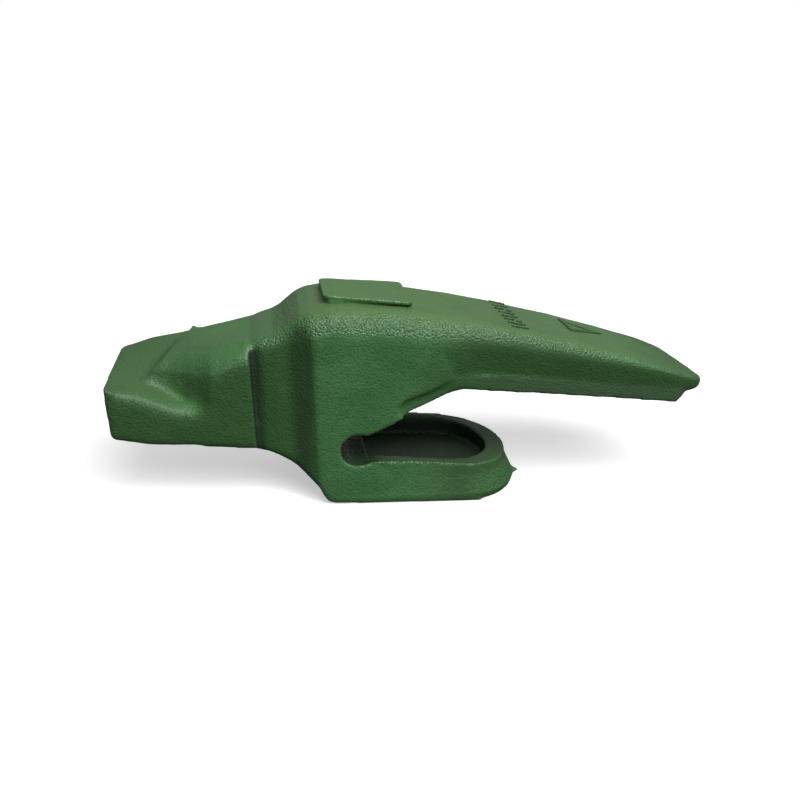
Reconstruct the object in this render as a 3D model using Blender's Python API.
"""Weld-on adapter of an excavator bucket tooth: a two-strap steel casting.

The nose points to -X and takes the tooth point.  The long top strap runs to +X over the
bucket lip, and the short bottom leg under it.  The slot between them holds the lip plate.
The casting is stored as its named sections, each a closed solid, so that every hollow
keeps simple solids around it.  The frame has +Z up, z = 0 on the flat sole of the leg.
"""
import math

import bmesh
import bpy
from mathutils import Matrix, Vector

# ---------------------------------------------------------------- driving dimensions
MM = 0.001
GAP = 0.3                  # clear gap between neighbouring sections, mm

NOSE_FACE_X = -191.5       # front face of the nose
NOSE_SPLIT_X = -169.2      # the nose is divided here, in front of the ledges
NOSE_ROOT_X = -107.5       # where the nose meets the neck
BODY_FRONT_X = -70.0
CROTCH_X = -54.0           # solid wall in front of the relief groove
STRAP_ROOT_X = 24.0        # where the top strap leaves the body
STRAP_TIP_X = 150.0
FOOT_SLANT_X = 170.5       # the end of the landing foot slants up from here
FOOT_END_X = 176.0         # the landing foot stops short of the tail
FOOT_END_RISE = 6.5
TAIL_X = 191.5             # end of the top strap

BODY_HALF_WIDTH = 43.5
LIP_SLOPE = 0.0700         # both lip seats fall this much per mm towards +X
LIP_UPPER_SEAT_Z = 77.6    # upper lip seat at STRAP_ROOT_X
LIP_LOWER_SEAT_Z = 27.3    # lower lip seat at STRAP_ROOT_X

RELIEF_X = -42.0           # round relief groove at the end of the slot
RELIEF_Z = 38.2
RELIEF_RADIUS = 10.5
SPLIT_Z = 38.2             # the body is divided above and below the groove here

LEG_START_X = -36.0
LEG_RAIL_END_X = 18.0
LEG_FLOOR_Z = 14.2         # floor of the pocket in the leg
POCKET_HALF_WIDTH = 33.5
POCKET_END_X = 52.5
RIM_HALF_WIDTH = 39.0
RIM_END_X = 62.5
SOLE_HALF_WIDTH = 44.0
SOLE_END_X = 74.0

PAD_FRONT_X = -65.0
PAD_REAR_X = -9.5
PAD_FRONT_HALF_WIDTH = 21.5
PAD_REAR_HALF_WIDTH = 25.0
PAD_CENTRE_Z = 129.15
PAD_SLOPE = 0.040          # fall of the pad towards +X
PAD_THICKNESS = 4.4
PAD_CORNER_RADIUS = 4.0

MARK_COUNT = 8
MARK_LENGTH = 10.0
MARK_WIDTH = 4.0
MARK_HEIGHT = 0.9
MARK_ROW_X = 60.0
MARK_PITCH = 7.6
EMBLEM_X = 112.0
EMBLEM_Y = 12.0
EMBLEM_RADIUS = 15.0
EMBLEM_BAR = 2.6

CORNER_STEPS = 4           # segments in each rounded corner of a section
ROUND_STEPS = 20           # segments in the round end of the leg
FAR = 100.0                # reach of a cutter past the casting, mm

# Sections of the casting: x, bottom, top, half width at the shoulder, half width at the
# bottom, radius of the upper edges, radius of the lower edges.
NOSE_SECTIONS = [
    (NOSE_FACE_X, 46.7, 72.7, 30.5, 30.5, 2.0, 2.0),
    (-188.5, 43.2, 77.2, 34.0, 34.0, 4.0, 4.0),
    (-168.0, 39.7, 86.7, 34.8, 34.8, 7.0, 4.0),
    (-140.0, 38.2, 94.0, 35.8, 35.8, 12.0, 4.0),
    (NOSE_ROOT_X, 38.0, 102.2, 36.8, 36.8, 14.0, 4.0),
]
NECK_SECTIONS = [
    (NOSE_ROOT_X, 37.7, 102.2, 33.0, 33.0, 12.0, 4.0),
    (-95.0, 34.4, 108.2, 34.5, 34.5, 13.0, 5.0),
    (-82.0, 28.2, 118.7, 37.5, 37.5, 15.0, 6.0),
    (-75.0, 22.2, 122.7, 41.5, 41.5, 16.0, 6.0),
    (BODY_FRONT_X, 16.2, 124.5, BODY_HALF_WIDTH, BODY_HALF_WIDTH, 16.0, 5.0),
]
BODY_SECTIONS = [
    (BODY_FRONT_X, 16.2, 124.5, BODY_HALF_WIDTH, BODY_HALF_WIDTH, 16.0, 5.0),
    (-62.0, 8.4, 126.0, BODY_HALF_WIDTH, BODY_HALF_WIDTH, 16.0, 5.0),
    (CROTCH_X, 1.6, 126.4, BODY_HALF_WIDTH, BODY_HALF_WIDTH, 16.0, 3.0),
    (-48.0, 0.0, 126.5, BODY_HALF_WIDTH, BODY_HALF_WIDTH, 16.0, 3.0),
    (-15.0, 0.0, 125.4, BODY_HALF_WIDTH, BODY_HALF_WIDTH, 16.0, 3.0),
    (STRAP_ROOT_X, 0.0, 120.7, 42.5, 41.5, 15.0, 3.0),
]
STRAP_SECTIONS = [
    (STRAP_ROOT_X, 87.5, 120.7, 42.5, 40.0, 15.0, 1.5),
    (50.0, 86.5, 116.4, 41.7, 38.0, 13.0, 1.5),
    (95.0, 82.7, 107.4, 40.2, 36.5, 10.0, 1.5),
    (137.0, 79.1, 97.4, 38.4, 35.5, 7.0, 1.5),
    (170.0, 76.5, 88.4, 36.6, 35.0, 4.5, 1.5),
    (181.0, 75.8, 85.6, 35.6, 34.2, 3.6, 2.0),
    (186.0, 76.0, 84.1, 33.8, 32.6, 3.0, 2.4),
    (189.5, 76.9, 82.7, 30.2, 29.2, 2.4, 2.4),
    (TAIL_X, 78.4, 81.2, 24.5, 24.1, 1.0, 1.0),
]


# ---------------------------------------------------------------- scene helpers
def clear_scene():
    """Empty the scene of objects."""
    for item in list(bpy.data.objects):
        bpy.data.objects.remove(item)


def make_collection(name):
    """Add a collection to the scene."""
    group = bpy.data.collections.new(name)
    bpy.context.scene.collection.children.link(group)
    return group


def make_material(name, colour, roughness, metallic):
    """A plain Principled material."""
    material = bpy.data.materials.new(name)
    material.use_nodes = True
    shader = material.node_tree.nodes["Principled BSDF"]
    shader.inputs["Base Color"].default_value = (*colour, 1.0)
    shader.inputs["Roughness"].default_value = roughness
    shader.inputs["Metallic"].default_value = metallic
    return material


def add_object(name, bm, group, material=None):
    """Turn a bmesh, drawn in millimetres, into an object in metres."""
    bmesh.ops.transform(bm, matrix=Matrix.Scale(MM, 4), verts=bm.verts)
    bmesh.ops.recalc_face_normals(bm, faces=bm.faces)
    mesh = bpy.data.meshes.new(name)
    bm.to_mesh(mesh)
    bm.free()
    item = bpy.data.objects.new(name, mesh)
    group.objects.link(item)
    if material:
        mesh.materials.append(material)
        mesh.shade_smooth()
        mesh.set_sharp_from_angle(angle=math.radians(35))
    return item


def as_cutter(item):
    """Keep a cutter out of the part."""
    item.hide_render = True
    item.display_type = "WIRE"
    return item


def boolean(item, cutter, operation="DIFFERENCE"):
    """Cut or keep with an exact Boolean."""
    modifier = item.modifiers.new(cutter.name, "BOOLEAN")
    modifier.operation = operation
    modifier.solver = "EXACT"
    modifier.object = cutter


# ---------------------------------------------------------------- shape helpers
def lip_line(z_at_root, x):
    """Height at x of a lip seat that passes z_at_root at the strap's root."""
    return z_at_root - LIP_SLOPE * (x - STRAP_ROOT_X)


def section_at(sections, x):
    """Section at station x, straight between the listed ones."""
    for first, second in zip(sections, sections[1:]):
        if first[0] <= x <= second[0]:
            share = (x - first[0]) / (second[0] - first[0])
            return tuple(a + (b - a) * share for a, b in zip(first, second))
    raise ValueError(f"no section at {x}")


def sections_between(sections, start, end):
    """The listed sections inside a stretch, with one more at each of its ends."""
    inside = [row for row in sections if start < row[0] < end]
    return [section_at(sections, start), *inside, section_at(sections, end)]


def corner(y, z, radius, start_degrees):
    """Quarter arc of a section's corner, about the centre (y, z)."""
    points = []
    for step in range(CORNER_STEPS + 1):
        angle = math.radians(start_degrees + 90 * step / CORNER_STEPS)
        points.append((y + radius * math.cos(angle), z + radius * math.sin(angle)))
    return points


def rounded_section(row):
    """Points of one section: a box with rounded edges, narrower below if so listed."""
    x, low, high, wide, narrow, r_top, r_low = row
    outline = corner(wide - r_top, high - r_top, r_top, 0)
    outline += corner(-(wide - r_top), high - r_top, r_top, 90)
    outline += corner(-(narrow - r_low), low + r_low, r_low, 180)
    outline += corner(narrow - r_low, low + r_low, r_low, 270)
    return [Vector((x, y, z)) for y, z in outline]


def loft(rings):
    """Closed solid through rings of equal length."""
    bm = bmesh.new()
    loops = [[bm.verts.new(point) for point in ring] for ring in rings]
    for first, second in zip(loops, loops[1:]):
        for index in range(len(first)):
            following = (index + 1) % len(first)
            bm.faces.new((first[index], first[following], second[following], second[index]))
    bm.faces.new(list(reversed(loops[0])))
    bm.faces.new(loops[-1])
    bmesh.ops.triangulate(bm, faces=bm.faces)
    return bm


def section_loft(name, rows, group, material):
    """A section of the casting, lofted through its rounded sections."""
    return add_object(name, loft([rounded_section(row) for row in rows]), group, material)


def side_prism(name, outline, group):
    """Cutter with a side-view outline (x, z), right across the casting."""
    rings = [[Vector((x, y, z)) for x, z in outline] for y in (-FAR, FAR)]
    return as_cutter(add_object(name, loft(rings), group))


def leg_outline(half_width, end_x, start_x, z):
    """Plan outline of the leg at height z: straight sides and a round end."""
    points = [Vector((start_x, half_width, z)), Vector((start_x, -half_width, z))]
    for step in range(ROUND_STEPS + 1):
        angle = math.radians(-90 + 180 * step / ROUND_STEPS)
        across = half_width * math.sin(angle)
        along = half_width * math.cos(angle)
        points.append(Vector((end_x - half_width + along, across, z)))
    return points


# ---------------------------------------------------------------- cutters
def slot_cutter(group):
    """Lip slot: round relief groove, rising upper edge, two parallel lip seats."""
    outline = []
    for step in range(17):
        angle = math.radians(62 + 208 * step / 16)
        outline.append((RELIEF_X + RELIEF_RADIUS * math.cos(angle),
                        RELIEF_Z + RELIEF_RADIUS * math.sin(angle)))
    outline.append((-20.0, 28.0))
    outline.append((-13.0, lip_line(LIP_LOWER_SEAT_Z, -13.0)))
    outline.append((2 * FAR, lip_line(LIP_LOWER_SEAT_Z, 2 * FAR)))
    outline.append((2 * FAR, lip_line(LIP_UPPER_SEAT_Z, 2 * FAR)))
    outline.append((STRAP_ROOT_X, LIP_UPPER_SEAT_Z))
    outline.append((12.0, 75.0))
    outline.append((-10.0, 64.2))
    outline.append((-21.0, 56.6))
    return side_prism("lip_slot", outline, group)


def pocket_cutter(group):
    """Pocket in the leg, from its floor up through the rim, open to the relief groove."""
    rings = []
    for z, draft in ((LEG_FLOOR_Z, 0.8), (LEG_FLOOR_Z + 40.0, -1.5)):
        width = POCKET_HALF_WIDTH - draft
        rings.append(leg_outline(width, POCKET_END_X - draft, LEG_START_X - 30.0, z))
    return as_cutter(add_object("leg_pocket", loft(rings), group))


# The ledge on the nose: station x, y of its inner wall, height at the near edge.
LEDGE_EDGE_Y = -36.0
LEDGE_TILT = 0.25
LEDGE_WALL_LEAN = 7.0
LEDGE_WALL_HEIGHT = 25.0
FACE_EDGE_Z = 76.2         # upper front edge of the nose
FACE_REACH = 40.0
FACE_STEPS = 6
LEDGE_STATIONS = [
    (-169.0, -13.0, 68.8),
    (-155.0, -16.0, 63.8),
    (-147.0, -21.0, 61.2),
    (-139.0, -28.5, 60.2),
    (-130.0, -38.0, 60.2),
]


def ledge_section(x, wall_y, edge_z):
    """Region removed above the tilted ledge, from its wall outwards."""
    def surface(y):
        return edge_z + LEDGE_TILT * (y - LEDGE_EDGE_Y)
    top_y = wall_y + LEDGE_WALL_LEAN
    top_z = surface(wall_y) + LEDGE_WALL_HEIGHT
    return [Vector((x, wall_y, surface(wall_y))), Vector((x, top_y, top_z)),
            Vector((x, top_y, top_z + FAR)), Vector((x, -FAR, top_z + FAR)),
            Vector((x, -FAR, surface(-FAR)))]


def ledge_cutter(name, group):
    """Helical ledge that spirals back and down along the side of the nose."""
    rings = [ledge_section(*row) for row in LEDGE_STATIONS]
    return as_cutter(add_object(name, loft(rings), group))


def face_cutter(name, group):
    """Twisted flat in front of the ledge: level at the nose face, tilted at the ledge."""
    start_x = NOSE_FACE_X - 4.0
    rings = []
    for step in range(FACE_STEPS + 1):
        share = step / FACE_STEPS
        x = start_x + (LEDGE_STATIONS[0][0] + 0.1 - start_x) * share
        edge_z = FACE_EDGE_Z + (LEDGE_STATIONS[0][2] - FACE_EDGE_Z) * share
        tilt = LEDGE_TILT * share
        low = edge_z + tilt * (-FACE_REACH - LEDGE_EDGE_Y)
        high = edge_z + tilt * (FACE_REACH - LEDGE_EDGE_Y)
        rings.append([Vector((x, -FACE_REACH, low)), Vector((x, FACE_REACH, high)),
                      Vector((x, FACE_REACH, 2 * FAR)), Vector((x, -FACE_REACH, 2 * FAR))])
    return as_cutter(add_object(name, loft(rings), group))


def turned_about_nose_axis(source, name, group):
    """The same cutter turned half a turn about the axis of the nose."""
    base = Vector((-190.0, 0.0, 60.0)) * MM
    direction = Vector((80.0, 0.0, 10.2)).normalized()
    turn = Matrix.Translation(base) @ Matrix.Rotation(math.pi, 4, direction)
    item = source.copy()
    item.name = name
    item.data = source.data.copy()
    item.data.transform(turn @ Matrix.Translation(-base))
    group.objects.link(item)
    return as_cutter(item)


# ---------------------------------------------------------------- parts
def build_nose(group, cutters, material):
    """Nose tip and nose root, with a ledge above on one side and below on the other."""
    ledge = ledge_cutter("ledge_above", cutters)
    face = face_cutter("face_above", cutters)
    opposite_ledge = turned_about_nose_axis(ledge, "ledge_below", cutters)
    opposite_face = turned_about_nose_axis(face, "face_below", cutters)
    tip_rows = sections_between(NOSE_SECTIONS, NOSE_FACE_X, NOSE_SPLIT_X)
    root_rows = sections_between(NOSE_SECTIONS, NOSE_SPLIT_X + GAP, NOSE_ROOT_X)
    tip = section_loft("nose_tip", tip_rows, group, material)
    boolean(tip, face)
    boolean(tip, opposite_face)
    root = section_loft("nose_root", root_rows, group, material)
    boolean(root, ledge)
    boolean(root, opposite_ledge)


def build_body(group, cutters, material):
    """Neck, solid crotch, crown above the slot and heel below it."""
    slot = slot_cutter(cutters)
    neck_rows = sections_between(NECK_SECTIONS, NOSE_ROOT_X + GAP, BODY_FRONT_X)
    section_loft("throat_neck", neck_rows, group, material)
    crotch_rows = sections_between(BODY_SECTIONS, BODY_FRONT_X + GAP, CROTCH_X)
    section_loft("crotch_block", crotch_rows, group, material)

    crown_rows = []
    heel_rows = []
    for row in sections_between(BODY_SECTIONS, CROTCH_X + GAP, STRAP_ROOT_X):
        x, low, high, wide, narrow, r_top, r_low = row
        crown_rows.append((x, SPLIT_Z + GAP / 2, high, wide, narrow, r_top, 0.5))
        if x < LEG_START_X:
            heel_rows.append((x, low, SPLIT_Z - GAP / 2, wide, narrow, 0.5, r_low))
    heel_rows.append((LEG_START_X - GAP, *heel_rows[-1][1:]))
    crown = section_loft("crown_block", crown_rows, group, material)
    boolean(crown, slot)
    heel = section_loft("heel_block", heel_rows, group, material)
    boolean(heel, slot)
    return slot


def build_strap(group, material):
    """Top strap, its tip, and the narrower landing foot under both."""
    strap_rows = sections_between(STRAP_SECTIONS, STRAP_ROOT_X + GAP, STRAP_TIP_X)
    section_loft("top_strap", strap_rows, group, material)
    tip_rows = sections_between(STRAP_SECTIONS, STRAP_TIP_X + GAP, TAIL_X)
    section_loft("strap_tip", tip_rows, group, material)

    foot_rows = []
    for x in (STRAP_ROOT_X + GAP, 50.0, 95.0, 137.0, FOOT_SLANT_X, 173.0, FOOT_END_X):
        row = section_at(STRAP_SECTIONS, x)
        rise = FOOT_END_RISE * max(0.0, x - FOOT_SLANT_X) / (FOOT_END_X - FOOT_SLANT_X)
        low = lip_line(LIP_UPPER_SEAT_Z, x) + rise
        width = row[4] + 0.5 - rise / 2
        foot_rows.append((x, low, row[1] - GAP, width, width, 0.5, 0.5))
    section_loft("strap_foot", foot_rows, group, material)


def leg_blank(name, group, material):
    """The whole leg: sole, flared sides and round end, higher than its rim."""
    rings = [
        leg_outline(SOLE_HALF_WIDTH - 3.0, SOLE_END_X - 4.0, LEG_START_X, 0.0),
        leg_outline(SOLE_HALF_WIDTH - 0.6, SOLE_END_X - 1.0, LEG_START_X, 1.8),
        leg_outline(SOLE_HALF_WIDTH, SOLE_END_X, LEG_START_X, 5.2),
        leg_outline(RIM_HALF_WIDTH + 1.8, RIM_END_X + 3.2, LEG_START_X, 18.0),
        leg_outline(RIM_HALF_WIDTH - 0.6, RIM_END_X - 0.8, LEG_START_X, 36.0),
    ]
    return add_object(name, loft(rings), group, material)


def keep_box(item, name, low, high, cutters):
    """Keep only what lies in a box given by two corners in millimetres."""
    bm = bmesh.new()
    bmesh.ops.create_cube(bm, size=1.0)
    size = Vector(high) - Vector(low)
    centre = (Vector(high) + Vector(low)) / 2
    place = Matrix.Translation(centre) @ Matrix.Diagonal((*size, 1.0))
    bmesh.ops.transform(bm, matrix=place, verts=bm.verts)
    boolean(item, as_cutter(add_object(name, bm, cutters)), "INTERSECT")


def build_leg(group, cutters, slot, material):
    """Bottom leg: floor plate, two side rails and the round end."""
    pocket = pocket_cutter(cutters)
    base = LEG_FLOOR_Z + GAP
    pieces = {
        "leg_floor": ((-FAR, -FAR, -1.0), (FAR, FAR, LEG_FLOOR_Z)),
        "leg_rail_left": ((-FAR, 1.0, base), (LEG_RAIL_END_X, FAR, FAR)),
        "leg_rail_right": ((-FAR, -FAR, base), (LEG_RAIL_END_X, -1.0, FAR)),
        "leg_round_end": ((LEG_RAIL_END_X + GAP, -FAR, base), (FAR, FAR, FAR)),
    }
    for name, (low, high) in pieces.items():
        piece = leg_blank(name, group, material)
        keep_box(piece, name + "_block", low, high, cutters)
        if name != "leg_floor":
            boolean(piece, slot)
            boolean(piece, pocket)


def flat_outline(name, points, thickness, group):
    """Flat plate from an outline: a filled 2D curve, turned into a mesh."""
    curve = bpy.data.curves.new(name, "CURVE")
    curve.dimensions = "2D"
    curve.fill_mode = "BOTH"
    curve.extrude = thickness / 2 * MM
    spline = curve.splines.new("POLY")
    spline.points.add(len(points) - 1)
    for point, (x, y) in zip(spline.points, points):
        point.co = (x * MM, y * MM, 0.0, 1.0)
    spline.use_cyclic_u = True
    outline = bpy.data.objects.new(name + "_outline", curve)
    group.objects.link(outline)
    graph = bpy.context.evaluated_depsgraph_get()
    mesh = bpy.data.meshes.new_from_object(outline.evaluated_get(graph))
    bpy.data.objects.remove(outline)
    bm = bmesh.new()
    bm.from_mesh(mesh)
    bmesh.ops.remove_doubles(bm, verts=bm.verts, dist=1e-6)
    bmesh.ops.recalc_face_normals(bm, faces=bm.faces)
    bm.to_mesh(mesh)
    bm.free()
    item = bpy.data.objects.new(name, mesh)
    group.objects.link(item)
    return item


def build_pad(group, material):
    """Flat pad on the crown, wider at the rear, with rounded corners."""
    reach = (PAD_REAR_X - PAD_FRONT_X) / 2
    corners = [
        (reach, PAD_REAR_HALF_WIDTH, 0),
        (-reach, PAD_FRONT_HALF_WIDTH, 90),
        (-reach, -PAD_FRONT_HALF_WIDTH, 180),
        (reach, -PAD_REAR_HALF_WIDTH, 270),
    ]
    points = []
    for x, y, start in corners:
        centre_x = x - math.copysign(PAD_CORNER_RADIUS, x)
        centre_y = y - math.copysign(PAD_CORNER_RADIUS, y)
        points += corner(centre_x, centre_y, PAD_CORNER_RADIUS, start)
    pad = flat_outline("crown_pad", points, PAD_THICKNESS, group)
    centre_x = (PAD_FRONT_X + PAD_REAR_X) / 2
    pad.location = (centre_x * MM, 0.0, PAD_CENTRE_Z * MM)
    pad.rotation_euler = (0.0, math.atan(PAD_SLOPE), 0.0)
    pad.data.materials.append(material)


def strap_surface(x):
    """Height and downward pitch of the strap's upper face at x."""
    height = section_at(STRAP_SECTIONS, x)[2]
    ahead = section_at(STRAP_SECTIONS, x + 1.0)[2]
    return height, math.atan(height - ahead)


def lay_on_strap(bm, x, y):
    """Lay a shape, drawn about the origin with its base at z = 0, on the strap at x, y."""
    height, pitch = strap_surface(x)
    place = Matrix.Translation((x, y, height + GAP * 1.2)) @ Matrix.Rotation(pitch, 4, "Y")
    bmesh.ops.transform(bm, matrix=place, verts=bm.verts)


def three_sided_prism(radius, low, high):
    """Upright prism with three sides about the origin, one corner towards +X."""
    bm = bmesh.new()
    bmesh.ops.create_cone(bm, cap_ends=True, segments=3, radius1=radius, radius2=radius,
                          depth=high - low)
    place = Matrix.Translation((0.0, 0.0, (low + high) / 2)) @ Matrix.Rotation(math.pi / 2, 4, "Z")
    bmesh.ops.transform(bm, matrix=place, verts=bm.verts)
    return bm


def build_marks(group, cutters, material):
    """Generic raised marks: a row of plain bars and a plain three-sided sign."""
    for index in range(MARK_COUNT):
        bar = bmesh.new()
        y = (index - (MARK_COUNT - 1) / 2) * MARK_PITCH
        place = Matrix.Translation((0.0, 0.0, MARK_HEIGHT / 2))
        size = Matrix.Diagonal((MARK_LENGTH, MARK_WIDTH, MARK_HEIGHT, 1.0))
        bmesh.ops.create_cube(bar, size=1.0, matrix=place @ size)
        lay_on_strap(bar, MARK_ROW_X, y)
        add_object(f"cast_mark_{index + 1}", bar, group, material)

    sign = three_sided_prism(EMBLEM_RADIUS, 0.0, MARK_HEIGHT)
    lay_on_strap(sign, EMBLEM_X, EMBLEM_Y)
    emblem = add_object("cast_emblem", sign, group, material)
    inner = three_sided_prism(EMBLEM_RADIUS - 2 * EMBLEM_BAR, -5.0, 5.0)
    lay_on_strap(inner, EMBLEM_X, EMBLEM_Y)
    boolean(emblem, as_cutter(add_object("emblem_hole", inner, cutters)))


def build():
    """Build every section of the adapter."""
    clear_scene()
    group = make_collection("bucket_tooth_adapter")
    cutters = make_collection("cutters")
    paint = make_material("green_cast_paint", (0.055, 0.190, 0.060), 0.42, 0.0)
    pad_paint = make_material("green_pad_paint", (0.085, 0.250, 0.090), 0.45, 0.0)
    pocket_paint = make_material("green_leg_paint", (0.050, 0.170, 0.058), 0.45, 0.0)
    mark_paint = make_material("green_mark_paint", (0.040, 0.140, 0.048), 0.45, 0.0)
    build_nose(group, cutters, paint)
    slot = build_body(group, cutters, paint)
    build_strap(group, paint)
    build_leg(group, cutters, slot, pocket_paint)
    build_pad(group, pad_paint)
    build_marks(group, cutters, mark_paint)


build()
